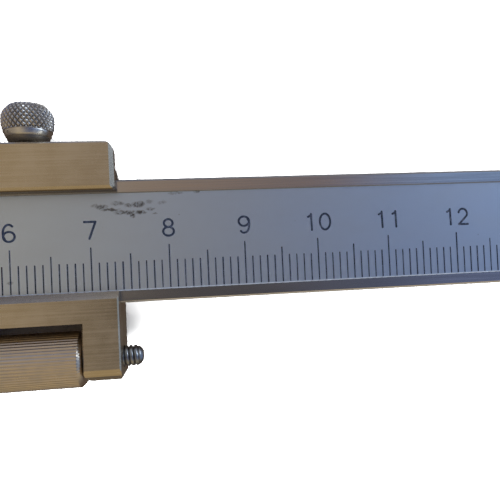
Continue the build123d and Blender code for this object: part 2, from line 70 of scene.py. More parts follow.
class Body(Enum):
    """The moving bodies that the pieces ride on."""

    BEAM = "beam"
    CARRIAGE = "carriage"
    NUT = "nut"
    SLIDER = "slider"
    CARRIAGE_SCREW = "carriage_screw"
    SLIDER_SCREW = "slider_screw"


class Slot(Enum):
    """The record's material slots named for the new pieces."""

    KNURLED = "knurled_steel"
    SPRING = "spring_steel"
    SCREW = "screw_steel"
    INK = "scale_ink"


class Grain(Enum):
    """The direction that a surface was ground or turned in, as noise scales per metre along X, Y and Z."""

    ALONG_X = (70.0, 5200.0, 5200.0)
    FINE_ALONG_X = (160.0, 11000.0, 11000.0)
    NONE = (2600.0, 2600.0, 2600.0)


# ---------------------------------------------------------------- shader helpers
@dataclass(frozen=True)
class Signal:
    """A number that varies over a surface. Python's operators add the Math nodes that work it out."""

    graph: "NodeGraph"
    socket: Socket

    def _math(self, operation: str, *values: object) -> "Signal":
        """The result of a Math node with the given operation and inputs, signals or numbers."""
        inputs = dict(enumerate(values))
        return Signal(self.graph, self.graph.node("ShaderNodeMath", {"operation": operation}, inputs))

    def __add__(self, other: object) -> "Signal":
        """self + other."""
        return self._math("ADD", self, other)

    __radd__ = __add__

    def __sub__(self, other: object) -> "Signal":
        """self - other."""
        return self._math("SUBTRACT", self, other)

    def __rsub__(self, other: object) -> "Signal":
        """other - self."""
        return self._math("SUBTRACT", other, self)

    def __mul__(self, other: object) -> "Signal":
        """self * other."""
        return self._math("MULTIPLY", self, other)

    __rmul__ = __mul__

    def __truediv__(self, other: object) -> "Signal":
        """self / other."""
        return self._math("DIVIDE", self, other)

    def __pow__(self, other: object) -> "Signal":
        """self to the power of other."""
        return self._math("POWER", self, other)

    def __gt__(self, other: object) -> "Signal":
        """1 where self is greater than other, else 0."""
        return self._math("GREATER_THAN", self, other)

    def __lt__(self, other: object) -> "Signal":
        """1 where self is less than other, else 0."""
        return self._math("LESS_THAN", self, other)

    def __abs__(self) -> "Signal":
        """The size of self without its sign."""
        return self._math("ABSOLUTE", self)

    def greatest(self, other: object) -> "Signal":
        """The greater of self and other."""
        return self._math("MAXIMUM", self, other)

    def step(self, low: float, high: float) -> "Signal":
        """A smooth step from 0 at low to 1 at high.

        Args:
            low: The value at which the step starts. It may be above high for a falling step.
            high: The value at which it ends.

        Returns:
            The step, from 0 to 1.
        """
        settings = {"interpolation_type": "SMOOTHSTEP"}
        if low <= high:
            inputs = {"Value": self, "From Min": low, "From Max": high}
            return Signal(self.graph, self.graph.node("ShaderNodeMapRange", settings, inputs))
        return 1 - self.step(high, low)


class NodeGraph:
    """The nodes of one material or of the world."""

    def __init__(self, tree: bpy.types.NodeTree) -> None:
        """Empties a node tree, to be filled."""
        self.tree = tree
        tree.nodes.clear()

    def node(
        self,
        kind: str,
        settings: Mapping[str, object] | None = None,
        inputs: Mapping[object, object] | None = None,
        output: object = 0,
    ) -> Socket:
        """Adds a node.

        Args:
            kind: The node's type.
            settings: Its settings, set first. "stops" are a ramp's places and colours.
            inputs: Values or links of its input sockets, by name or index.
            output: The output socket wanted, by name or index.

        Returns:
            The output socket, or the node's first input where it has no output.
        """
        made = self.tree.nodes.new(kind)
        for name, value in (settings or {}).items():
            if name == "stops":
                self._set_stops(made.color_ramp, value)
            else:
                setattr(made, name, value)
        for name, value in (inputs or {}).items():
            socket = made.inputs[name]
            link = value.socket if isinstance(value, Signal) else value
            if isinstance(link, Socket):
                self.tree.links.new(link, socket)
            elif isinstance(link, tuple) and len(link) == 3 and socket.type == "RGBA":
                socket.default_value = (*link, 1.0)
            else:
                socket.default_value = link
        return made.outputs[output] if len(made.outputs) else made.inputs[0]

    @staticmethod
    def _set_stops(ramp: bpy.types.ColorRamp, stops: Sequence[tuple[float, Colour]]) -> None:
        """Gives a colour ramp its stops, each a place and a colour, in order."""
        while len(ramp.elements) < len(stops):
            ramp.elements.new(1.0)
        for element, (place, colour) in zip(ramp.elements, stops, strict=True):
            element.position = place
            element.color = (*colour, 1.0)

    def number(self, kind: str, inputs: Mapping[object, object], output: object = 0) -> Signal:
        """A node's output as a signal, from the arguments that node() takes."""
        return Signal(self, self.node(kind, None, inputs, output))

    def axes(self, coordinate: Socket) -> tuple[Signal, Signal, Signal]:
        """The X, Y and Z parts of a vector as signals."""
        parts = [self.node("ShaderNodeSeparateXYZ", None, {0: coordinate}, n) for n in range(3)]
        return Signal(self, parts[0]), Signal(self, parts[1]), Signal(self, parts[2])

    def blend(self, share: object, first: object, second: object) -> Socket:
        """Mixes two colours, or sockets that give them, by the share of the second from 0 to 1."""
        settings = {"data_type": "RGBA", "blend_type": "MIX", "clamp_factor": True}
        return self.node("ShaderNodeMix", settings, {0: share, 6: first, 7: second}, 2)

    def stretched(self, place: Socket, scale: Point) -> Socket:
        """A coordinate multiplied by a scale along each axis."""
        return self.node("ShaderNodeVectorMath", {"operation": "MULTIPLY"}, {0: place, 1: scale})

    def noise(self, place: Socket, scale: Point | float, detail: float, rough: float) -> Signal:
        """Noise over a surface.

        Args:
            place: The coordinate it follows.
            scale: Cells per metre, one number or one for each axis.
            detail: Number of finer octaves.
            rough: Strength of each finer octave.

        Returns:
            The noise, about 0.5 on average.
        """
        cells = self.stretched(place, scale if isinstance(scale, tuple) else (scale, scale, scale))
        inputs = {"Vector": cells, "Scale": 1.0, "Detail": detail, "Roughness": rough}
        return self.number("ShaderNodeTexNoise", inputs)

    def specks(self, place: Socket, spacing: float, radius: float, share: float) -> Signal:
        """Small round specks scattered at random.

        Args:
            place: The coordinate that they follow.
            spacing: The usual distance between cells, in millimetres.
            radius: The largest radius of a speck, in millimetres.
            share: The share of the cells that hold a speck.

        Returns:
            1 inside a speck, 0 outside.
        """
        scale = 1.0 / (spacing * MM)
        even = self.stretched(place, (scale, scale, scale))
        distance = self.number("ShaderNodeTexVoronoi", {"Vector": even, "Scale": 1.0}, "Distance")
        chance = self.axes(self.node("ShaderNodeTexVoronoi", None, {"Vector": even, "Scale": 1.0}, "Color"))
        size = chance[1] * (radius / spacing)
        return (distance < size) * (chance[0] < share)


class MetalShader:
    """One Principled surface of metal or ink, and what feeds it."""

    def __init__(self, name: str) -> None:
        """Starts a material of the given name."""
        self.material = bpy.data.materials.new(name)
        self.material.use_nodes = True
        self.graph = NodeGraph(self.material.node_tree)
        self.place = self.graph.node("ShaderNodeTexCoord", None, None, "Object")

    def finish(
        self,
        colour: object,
        roughness: object,
        metallic: float,
        height: Signal | None = None,
        depth: float = 0.0,
        fixed: Mapping[str, object] | None = None,
    ) -> Material:
        """Joins the surface to the output.

        Args:
            colour: The base colour, or the socket that gives it.
            roughness: The roughness, or its signal.
            metallic: 1 for bare metal, 0 for ink and paper.
            height: A relief from 0 to 1, or None.
            depth: The relief's real depth, in millimetres.
            fixed: Further shader sockets that are the same all over.

        Returns:
            The material.
        """
        inputs = {"Base Color": colour, "Roughness": roughness, "Metallic": metallic, **(fixed or {})}
        if height is not None:
            bump = {"Height": height, "Distance": depth * MM, "Strength": 1.0}
            inputs["Normal"] = self.graph.node("ShaderNodeBump", None, bump)
        surface = self.graph.node("ShaderNodeBsdfPrincipled", None, inputs)
        self.graph.node("ShaderNodeOutputMaterial", None, {"Surface": surface})
        return self.material


# ---------------------------------------------------------------- finishes
class Finish(Protocol):
    """What every finish has: a name, and the material that it builds."""

    name: str

    def material(self) -> Material:
        """Builds the finish."""


@dataclass(frozen=True)
class Hollow:
    """A box, in millimetres on the piece, in which the metal is darkened: painted shade where a recess or an
    overhanging part keeps light out.
    """

    low: Point
    high: Point
    strength: float
    fade: float = 0.15

    def mask(self, graph: NodeGraph, place: Socket) -> Signal:
        """The painted shade's strength inside the box, falling to 0 just outside."""
        inside: Signal | None = None
        for axis, low, high in zip(graph.axes(place), self.low, self.high, strict=True):
            within = (axis / MM).step(low - self.fade, low) * (axis / MM).step(high + self.fade, high)
            inside = within if inside is None else inside * within
        return inside * self.strength


@dataclass(frozen=True)
class GroundSteel:
    """Ground steel: a directional grain, uneven tone and small pits, with painted shade on faces that don't
    face up and in any given boxes.
    """

    name: str
    tint: Colour = (0.61, 0.54, 0.43)
    worn: Colour = (0.50, 0.43, 0.32)
    grime_and_shade: Colour = (0.085, 0.06, 0.04)
    grain: Grain = Grain.ALONG_X
    roughness: float = 0.27
    grain_depth: float = 0.0012
    pits: float = 0.10
    side_shade: float = 0.15
    hollows: tuple[Hollow, ...] = ()

    def material(self) -> Material:
        """Builds the finish."""
        shader = MetalShader(self.name)
        graph, place = shader.graph, shader.place
        streaks = graph.noise(place, self.grain.value, 3.0, 0.6)
        clouds = graph.noise(place, 240.0, 3.0, 0.55)
        pits = graph.specks(place, 1.3, 0.16, self.pits)
        normal = graph.axes(graph.node("ShaderNodeTexCoord", None, None, "Normal"))
        # Painted shade: faces that don't face straight up are darkened and made a little rougher.
        side = abs(normal[2]).step(0.55, 0.2)
        tone = (streaks - 0.5) * 0.9 + clouds
        base = graph.blend(tone.step(0.25, 0.8), self.worn, self.tint)
        # The dark mix holds real pits and painted shade: the sides and the given boxes.
        pits_and_shade = (side * self.side_shade).greatest(pits * 0.7)
        for hollow in self.hollows:
            pits_and_shade = pits_and_shade.greatest(hollow.mask(graph, place))
        colour = graph.blend(pits_and_shade, base, self.grime_and_shade)
        roughness = self.roughness + (clouds - 0.5) * 0.16 + (streaks - 0.5) * 0.12 + side * 0.12 + pits * 0.2
        relief = streaks - pits * 0.8
        return shader.finish(colour, roughness, 1.0, relief, self.grain_depth)


@dataclass(frozen=True)
class Blotch:
    """One patch of stain: its middle, half its length and height, all in millimetres, and its strength."""

    x: float
    y: float
    half_long: float
    half_high: float
    strength: float


@dataclass(frozen=True)
class ScaleSteel:
    """The beam: a satin chrome scale face between two polished rails, with the stains of long use, a painted
    highlight on the step up to the lower rail and painted shade on the step up to the upper rail and along
    the far edge.
    """

    name: str
    face_height: float = FACE_HEIGHT
    rail_height: float = 5.30
    far_edge: float = 7.8
    face: Colour = (0.62, 0.73, 0.88)
    face_cloud: Colour = (0.55, 0.60, 0.66)
    rail: Colour = (0.58, 0.57, 0.56)
    rail_streak: Colour = (0.42, 0.40, 0.38)
    side: Colour = (0.40, 0.37, 0.34)
    painted_highlight: Colour = (0.95, 0.97, 1.0)
    painted_shade: Colour = (0.12, 0.09, 0.07)
    stain: Colour = (0.10, 0.09, 0.085)
    face_roughness: float = 0.43
    rail_roughness: float = 0.17
    blotches: tuple[Blotch, ...] = (
        Blotch(70.7, 4.65, 0.5, 0.25, 0.45),
        Blotch(71.6, 4.55, 0.8, 0.26, 0.75),
        Blotch(72.7, 4.15, 1.1, 0.22, 0.85),
        Blotch(73.9, 3.75, 0.9, 0.24, 0.8),
        Blotch(75.0, 3.7, 0.7, 0.26, 0.9),
        Blotch(75.6, 3.35, 0.34, 0.34, 1.0),
        Blotch(76.6, 3.7, 0.75, 0.28, 0.95),
        Blotch(76.2, 4.75, 0.85, 0.42, 0.9),
        Blotch(74.9, 4.6, 0.6, 0.3, 0.7),
        Blotch(73.6, 4.9, 0.9, 0.3, 0.6),
        Blotch(77.8, 4.1, 0.5, 0.28, 0.7),
        Blotch(78.3, 3.4, 0.3, 0.12, 0.8),
        Blotch(77.6, 5.0, 0.5, 0.3, 0.4),
        Blotch(79.3, 4.85, 0.5, 0.25, 0.4),
        Blotch(81.2, 6.1, 1.0, 0.2, 0.45),
        Blotch(83.8, 6.1, 0.5, 0.15, 0.6),
        Blotch(60.0, -4.75, 0.4, 0.2, 0.5),
    )

    def _stain_mask(self, graph: NodeGraph, place: Socket) -> Signal:
        """The patches of stain, broken up by noise, from 0 to 1."""
        x, y, _ = graph.axes(place)
        warp = graph.noise(place, 900.0, 3.0, 0.6) - 0.5
        broken = graph.noise(place, 2300.0, 3.0, 0.65)
        total: Signal | None = None
        for blotch in self.blotches:
            across = (x / MM - blotch.x + warp * 1.1) / blotch.half_long
            up = (y / MM - blotch.y + warp * 0.7) / blotch.half_high
            patch = (across * across + up * up).step(1.5, 0.2) * blotch.strength
            total = patch if total is None else total.greatest(patch)
        return total * (0.35 + broken.step(0.38, 0.6) * 0.65)

    def material(self) -> Material:
        """Builds the finish."""
        shader = MetalShader(self.name)
        graph, place = shader.graph, shader.place
        _, y, z = graph.axes(place)
        height = z / MM
        on_rail = height.step(self.rail_height - 0.06, self.rail_height - 0.02)
        above = height.step(self.face_height - 0.06, self.face_height - 0.02)
        streaks = graph.noise(place, Grain.ALONG_X.value, 3.0, 0.6)
        satin = graph.noise(place, 9000.0, 2.0, 0.5)
        clouds = graph.noise(place, (130.0, 260.0, 200.0), 3.0, 0.5)
        specks = graph.specks(place, 1.1, 0.09, 0.22)
        stain = self._stain_mask(graph, place).greatest(specks * 0.35) * above * (1 - on_rail)
        face_tone = graph.blend((clouds - 0.5) * 0.5 + 0.2, self.face, self.face_cloud)
        rail_tone = graph.blend(streaks.step(0.35, 0.75) * 0.4, self.rail, self.rail_streak)
        front = graph.blend(on_rail, face_tone, rail_tone)
        metal = graph.blend(above, self.side, front)
        slope_foot = height.step(self.face_height, self.face_height + 0.03)
        slope = slope_foot * height.step(self.rail_height, self.rail_height - 0.03)
        # Painted highlight: the step up to the lower rail is made nearly white.
        metal = graph.blend(slope * (y < 0.0), metal, self.painted_highlight)
        # Painted shade: the step up to the upper rail and the far edge are darkened.
        far_side = (y / MM).step(self.far_edge - 0.08, self.far_edge)
        shaded = (slope * (y > 0.0) * 0.7).greatest(far_side * 0.75)
        metal = graph.blend(shaded, metal, self.painted_shade)
        colour = graph.blend(stain, metal, self.stain)
        face_rough = self.face_roughness + (satin - 0.5) * 0.06 + (clouds - 0.5) * 0.08
        rail_rough = self.rail_roughness + (streaks - 0.5) * 0.16
        roughness = face_rough * (1 - on_rail) + rail_rough * on_rail + stain * 0.15
        relief = satin * 0.5 * (1 - on_rail) + streaks * on_rail * 0.6 - stain * 0.6
        return shader.finish(colour, roughness, 1.0, relief, 0.0016)


@dataclass(frozen=True)
class Barrel:
    """The round outline of a turned piece along its axis: straight, or falling away towards both ends.

    The falls are in millimetres of radius. They start at a share of the length and follow a power of it.
    """

    radius: float
    ends: Flat = (0.0, 1.0)
    high_fall: float = 0.0
    low_fall: float = 0.0
    high_start: float = 0.42
    low_start: float = 0.36
    high_power: float = 2.5
    low_power: float = 1.6

    def at(self, along: object, greatest: Callable[[object, object], object] = max) -> object:
        """The outline's radius.

        Args:
            along: The place along the axis, a number or a signal.
            greatest: What picks the greater of two such values.

        Returns:
            The radius there, of the same kind.
        """
        if not self.high_fall:
            return self.radius
        share = (along - self.ends[0]) / (self.ends[1] - self.ends[0])
        high = greatest((share - self.high_start) / (1 - self.high_start), 0.0) ** self.high_power
        low = greatest((self.low_start - share) / self.low_start, 0.0) ** self.low_power
        return self.radius - (high * self.high_fall + low * self.low_fall)


@dataclass(frozen=True)
class TurnedSteel:
    """Turned and plated steel, darkened in its low places within its reach along the axis, partly old grease
    and partly painted shade, and with painted shade in any given boxes.
    """

    name: str
    axis_point: Flat
    axis_along_y: bool
    outline: Barrel
    depth: float
    reach: Flat
    tint: Colour = (0.62, 0.61, 0.60)
    dull: Colour = (0.50, 0.48, 0.46)
    grime_and_shade: Colour = (0.13, 0.11, 0.09)
    roughness: float = 0.24
    dirt_and_shade: float = 1.0
    fade: float = 0.05
    hollows: tuple[Hollow, ...] = ()

    def material(self) -> Material:
        """Builds the finish."""
        shader = MetalShader(self.name)
        graph, place = shader.graph, shader.place
        x, y, z = graph.axes(place)
        across = (x if self.axis_along_y else y) / MM - self.axis_point[0]
        up = z / MM - self.axis_point[1]
        along = (y if self.axis_along_y else x) / MM
        radius = (across * across + up * up) ** 0.5
        sunk = self.outline.at(along, Signal.greatest) - radius
        low = sunk.step(self.depth * 0.25, self.depth)
        first, last = self.reach
        inside = along.step(first - self.fade, first) * along.step(last + self.fade, last)
        clouds = graph.noise(place, 700.0, 3.0, 0.6)
        # Darkening of the low places: partly old grease, partly painted shade in the shaded grooves.
        dirt_and_shade = low * inside * (0.45 + clouds * 0.6) * self.dirt_and_shade
        for hollow in self.hollows:
            dirt_and_shade = dirt_and_shade.greatest(hollow.mask(graph, place))
        plating = graph.blend(clouds.step(0.3, 0.8) * 0.5, self.tint, self.dull)
        colour = graph.blend(dirt_and_shade, plating, self.grime_and_shade)
        roughness = self.roughness + (clouds - 0.5) * 0.2 + dirt_and_shade * 0.3
        fine = graph.noise(place, 9000.0, 2.0, 0.5)
        return shader.finish(colour, roughness, 1.0, fine, 0.0012)


@dataclass(frozen=True)
class PlainMetal:
    """A small bare metal part: an even tint with a fine random texture and slight tarnish."""

    name: str
    tint: Colour
    tarnish: Colour
    roughness: float = 0.3
    grain: Grain = Grain.NONE

    def material(self) -> Material:
        """Builds the finish."""
        shader = MetalShader(self.name)
        graph, place = shader.graph, shader.place
        streaks = graph.noise(place, self.grain.value, 3.0, 0.6)
        clouds = graph.noise(place, 500.0, 3.0, 0.6)
        colour = graph.blend(clouds.step(0.35, 0.75), self.tint, self.tarnish)
        roughness = self.roughness + (clouds - 0.5) * 0.2 + (streaks - 0.5) * 0.1
        return shader.finish(colour, roughness, 1.0, streaks, 0.001)


@dataclass(frozen=True)
class ScaleInk:
    """The dark filling of the engraved lines and numerals."""

    name: str = "scale_ink"
    tint: Colour = (0.002, 0.003, 0.006)
    thin: Colour = (0.008, 0.010, 0.016)

    def material(self) -> Material:
        """Builds the finish."""
        shader = MetalShader(self.name)
        graph = shader.graph
        fade = graph.noise(shader.place, 1500.0, 3.0, 0.6)
        colour = graph.blend(fade.step(0.45, 0.8), self.tint, self.thin)
        return shader.finish(colour, 0.55 + (fade - 0.5) * 0.3, 0.0, fixed={"Specular IOR Level": 0.2})


@dataclass(frozen=True)
class PaleFloor:
    """The plain matt sheet that the caliper lies on. It looks white because its lamps are strong."""

    name: str = "pale_floor"
    tint: Colour = (0.46, 0.46, 0.46)
    cloud: Colour = (0.42, 0.42, 0.42)
    roughness: float = 0.9

    def material(self) -> Material:
        """Builds the finish."""
        shader = MetalShader(self.name)
        tone = shader.graph.noise(shader.place, 40.0, 2.0, 0.5)
        colour = shader.graph.blend(tone * 0.1, self.tint, self.cloud)
        return shader.finish(colour, self.roughness, 0.0, fixed={"Specular IOR Level": 0.1})


# ---------------------------------------------------------------- mesh helpers
@dataclass
class Shell:
    """Points in millimetres and faces of a mesh that is being put together."""

    points: list[Vector] = field(default_factory=list)
    faces: list[tuple[int, ...]] = field(default_factory=list)

    def add(self, points: Sequence[Vector], faces: Sequence[tuple[int, ...]]) -> None:
        """Adds a closed part, its faces counted from its own first point."""
        start = len(self.points)
        self.points += points
        self.faces += [tuple(start + n for n in face) for face in faces]

    def piece(
        self, name: str, body: Body, slot: Slot, material: Material, smooth: float = 35.0
    ) -> bpy.types.Object:
        """Makes the Blender object and lets it ride on its body.

        Args:
            name: The piece's name.
            body: The body that it moves with.
            slot: The record's material slot. Not used.
            material: Its finish.
            smooth: Edges sharper than this angle, in degrees, stay sharp.

        Returns:
            The object.
        """
        mesh = bpy.data.meshes.new(name)
        mesh.from_pydata([p * MM for p in self.points], [], self.faces)
        mesh.polygons.foreach_set("use_smooth", [True] * len(mesh.polygons))
        mesh.set_sharp_from_angle(angle=math.radians(smooth))
        mesh.materials.append(material)
        made = bpy.data.objects.new(name, mesh)
        bpy.context.scene.collection.objects.link(made)
        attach(made, body.value)
        LOG.info("%s: %d points, rides on %s", name, len(self.points), body.value)
        return made


@dataclass(frozen=True)
class TurningAxis:
    """The axis of a turned piece: its origin, its direction, and the direction that angles start from."""

    origin: Point
    along: Point
    side: Point

    def place(self, travel: float, radius: float, angle: float) -> Vector:
        """A point by its place along the axis, its radius and its angle."""
        along, side = Vector(self.along), Vector(self.side)
        outwards = side * math.cos(angle) + along.cross(side) * math.sin(angle)
        return Vector(self.origin) + along * travel + outwards * radius


ROD_AXIS = TurningAxis((0.0, ROD_Y, AXIS_HEIGHT), (1.0, 0.0, 0.0), (0.0, 1.0, 0.0))
Radius = Callable[[float], float]
Ring = tuple[float, float | Radius]


def turned(
    axis: TurningAxis, rings: Sequence[Ring], steps: int, bored: bool = False, helix: bool = False
) -> Shell:
    """A closed turned shape, whose radius may vary with the angle.

    Args:
        axis: Where its axis lies.
        rings: Its rings in order: the place along the axis, and the radius or a function of the angle.
        steps: The number of points round each ring.
        bored: Whether the last ring joins the first, as round a bore. Otherwise both ends are capped.
        helix: Whether each face is split along the fold of a pattern that crosses it diagonally.

    Returns:
        The shape.
    """
    points: list[Vector] = []
    for travel, radius in rings:
        for n in range(steps):
            angle = 2 * math.pi * n / steps
            points.append(axis.place(travel, radius(angle) if callable(radius) else radius, angle))
    faces: list[tuple[int, ...]] = []
    count = len(rings)
    for ring in range(count if bored else count - 1):
        low, high = ring * steps, (ring + 1) % count * steps
        for n in range(steps):
            m = (n + 1) % steps
            corners = (low + n, low + m, high + m, high + n)
            if not helix:
                faces.append(corners)
                continue
            rise = points[corners[2]] - points[corners[0]]
            fall = points[corners[3]] - points[corners[1]]
            if rise.length <= fall.length:
                faces += [(corners[0], corners[1], corners[2]), (corners[0], corners[2], corners[3])]
            else:
                faces += [(corners[0], corners[1], corners[3]), (corners[1], corners[2], corners[3])]
    if not bored:
        faces.append(tuple(range(steps - 1, -1, -1)))
        faces.append(tuple((count - 1) * steps + n for n in range(steps)))
    shell = Shell()
    shell.add(points, faces)
    return shell


@dataclass(frozen=True)
class DrawingPlane:
    """A flat place that lines and numerals are drawn on: u along it, v up it, h above it."""

    origin: Point
    u: Point
    v: Point

    def at(self, u: float, v: float, h: float) -> Vector:
        """The point in space of a place on the drawing."""
        along, up = Vector(self.u), Vector(self.v)
        return Vector(self.origin) + along * u + up * v + along.cross(up) * h


def level_plane(height: float) -> DrawingPlane:
    """The plane along X and Y at a height."""
    return DrawingPlane((0.0, 0.0, height), (1.0, 0.0, 0.0), (0.0, 1.0, 0.0))


@dataclass(frozen=True)
class InkPen:
    """Draws closed, flat strips of ink, sunk a little into the surface."""

    plane: DrawingPlane
    proud: float = 0.008
    sunk: float = 0.02

    def strip(
        self, shell: Shell, path: Sequence[Flat], width: float, closed: bool = False, lift: float = 0.0
    ) -> None:
        """Adds one strip.

        Args:
            shell: The mesh to add to.
            path: The strip's middle line on the plane.
            width: Its width.
            closed: Whether its end joins its start.
            lift: A little extra height, so that crossing strips don't lie in one plane.
        """
        stations = self._loop(path, width) if closed else self._open(path, width)
        top, bottom = self.proud + lift, -self.sunk
        points: list[Vector] = []
        for (u, v), (nu, nv), half in stations:
            left, right = (u + nu * half, v + nv * half), (u - nu * half, v - nv * half)
            points += [self.plane.at(*left, top), self.plane.at(*right, top)]
            points += [self.plane.at(*right, bottom), self.plane.at(*left, bottom)]
        count = len(stations)
        faces: list[tuple[int, ...]] = []
        for n in range(count if closed else count - 1):
            a, b = n * 4, (n + 1) % count * 4
            faces += [(a + k, a + (k + 1) % 4, b + (k + 1) % 4, b + k) for k in range(4)]
        if not closed:
            faces += [(3, 2, 1, 0), tuple((count - 1) * 4 + k for k in range(4))]
        shell.add(points, faces)

    @staticmethod
    def _normals(path: Sequence[Flat], closed: bool) -> list[Flat]:
        """The unit normal of a path at each of its points."""
        count = len(path)
        normals: list[Flat] = []
        for n in range(count):
            before = path[(n - 1) % count] if closed or n else path[n]
            after = path[(n + 1) % count] if closed or n < count - 1 else path[n]
            du, dv = after[0] - before[0], after[1] - before[1]
            size = math.hypot(du, dv)
            normals.append((-dv / size, du / size))
        return normals

    def _loop(self, path: Sequence[Flat], width: float) -> list[tuple[Flat, Flat, float]]:
        """The stations of a strip that joins up with itself."""
        return [(p, n, width / 2) for p, n in zip(path, self._normals(path, True), strict=True)]

    def _open(self, path: Sequence[Flat], width: float) -> list[tuple[Flat, Flat, float]]:
        """The stations of a strip with round ends."""
        half = width / 2
        normals = self._normals(path, False)
        stations = [(p, n, half) for p, n in zip(path, normals, strict=True)]
        for end, sign in ((0, -1.0), (-1, 1.0)):
            (u, v), (nu, nv) = path[end], normals[end]
            cap = []
            for turn in (30, 55, 75, 87):
                reach, share = sign * half * math.sin(math.radians(turn)), math.cos(math.radians(turn))
                cap.append(((u + nv * reach, v - nu * reach), (nu, nv), half * share))
            stations = cap[::-1] + stations if end == 0 else stations + cap
        return stations


def arc(middle: Flat, radii: Flat, start: float, end: float, steps: int) -> list[Flat]:
    """Points along an elliptical arc.

    Args:
        middle: Its middle.
        radii: Its half width and half height.
        start: Its first angle in degrees.
        end: Its last angle in degrees.
        steps: The number of pieces.

    Returns:
        The points. A whole turn leaves out the last one, which is the first again.
    """
    count = steps if abs(end - start) >= 360 else steps + 1
    turns = [math.radians(start + (end - start) * n / steps) for n in range(count)]
    return [(middle[0] + radii[0] * math.cos(t), middle[1] + radii[1] * math.sin(t)) for t in turns]


@dataclass(frozen=True)
class Stroke:
    """One stroke of a numeral, in heights of the numeral."""

    path: tuple[Flat, ...]
    closed: bool = False


def stroke(*path: Flat) -> Stroke:
    """A stroke through the given points."""
    return Stroke(tuple(path))


NUMERALS: dict[str, tuple[Stroke, ...]] = {
    "0": (Stroke(tuple(arc((0.33, 0.5), (0.33, 0.5), 90, 450, 36)), True),),
    "1": (stroke((0.38, 0.0), (0.36, 1.0)), stroke((0.16, 0.83), (0.36, 0.93))),
    "2": (
        stroke(*arc((0.32, 0.69), (0.29, 0.31), 165, -32, 22), (0.04, 0.0)),
        stroke((0.02, 0.0), (0.64, 0.0)),
    ),
    "3": (
        stroke(*arc((0.31, 0.75), (0.25, 0.25), 155, -90, 22)),
        stroke(*arc((0.31, 0.26), (0.30, 0.26), 90, -158, 22)),
    ),
    "4": (stroke((0.47, 0.0), (0.47, 1.0)), stroke((0.47, 1.0), (0.0, 0.3)), stroke((0.0, 0.3), (0.66, 0.3))),
    "5": (
        stroke((0.56, 1.0), (0.12, 1.0)),
        stroke((0.12, 1.0), (0.07, 0.54)),
        stroke((0.07, 0.54), *arc((0.31, 0.32), (0.31, 0.32), 120, -148, 24)),
    ),
    "6": (
        stroke(*arc((0.33, 0.5), (0.33, 0.5), 52, 225, 24)),
        Stroke(tuple(arc((0.33, 0.29), (0.32, 0.29), 180, 540, 32)), True),
    ),
    "7": (stroke((0.0, 1.0), (0.66, 1.0)), stroke((0.66, 1.0), (0.28, 0.0))),
    "8": (
        Stroke(tuple(arc((0.33, 0.76), (0.26, 0.24), 90, 450, 28)), True),
        Stroke(tuple(arc((0.33, 0.265), (0.32, 0.265), 90, 450, 32)), True),
    ),
    "9": (
        stroke(*arc((0.33, 0.5), (0.33, 0.5), 232, 405, 24)),
        Stroke(tuple(arc((0.33, 0.71), (0.32, 0.29), 0, 360, 32)), True),
    ),
}


@dataclass(frozen=True)
class Lettering:
    """The numerals' size: height over all, width of a stroke, and distance between two side by side.

    The middle is in heights of a numeral. Each stroke lies a little above the one before, by the lift.
    """

    height: float
    stroke_width: float
    pitch: float
    middle: float = 0.33
    lift: float = 0.0008

    def write(self, pen: InkPen, shell: Shell, text: str, u: float, v: float) -> None:
        """Writes a number.

        Args:
            pen: The pen to draw with.
            shell: The mesh to add to.
            text: The number.
            u: The middle of the number.
            v: Its lower edge.
        """
        size = self.height - self.stroke_width
        start = u - self.pitch * (len(text) - 1) / 2
        for place, digit in enumerate(text):
            left = start + place * self.pitch - self.middle * size
            for order, line in enumerate(NUMERALS[digit]):
                path = [(left + x * size, v + self.stroke_width / 2 + y * size) for x, y in line.path]
                pen.strip(shell, path, self.stroke_width, line.closed, order * self.lift)


# ---------------------------------------------------------------- scales
@dataclass
class MainScale:
    """The engraved millimetre scale of the beam: lines, and a number at each centimetre."""

    face_height: float = FACE_HEIGHT
    length: int = 150
    foot: float = -6.2
    tops: dict[int, float] = field(default_factory=lambda: {10: -0.70, 5: -1.69, 1: -2.72})
    line_width: float = 0.18
    numeral_foot: float = 0.33
    lettering: Lettering = Lettering(2.46, 0.29, 1.98)
    two_digit_shift: float = 0.15

    def build(self, ink: Material) -> None:
        """Makes the lines and the numerals in the given ink."""
        pen = InkPen(level_plane(self.face_height))
        chance = random.Random(11)
        lines, numerals = Shell(), Shell()
        for mark in range(self.length + 1):
            top = next(self.tops[step] for step in (10, 5, 1) if mark % step == 0)
            width = self.line_width * chance.uniform(0.9, 1.1)
            pen.strip(lines, [(mark, self.foot), (mark, top + chance.uniform(-0.03, 0.03))], width)
            if mark % 10 == 0:
                text = str(mark // 10)
                shift = self.two_digit_shift if len(text) > 1 else 0.0
                self.lettering.write(pen, numerals, text, mark + shift, self.numeral_foot)
        lines.piece("main_scale_lines", Body.BEAM, Slot.INK, ink)
        numerals.piece("main_scale_numerals", Body.BEAM, Slot.INK, ink)


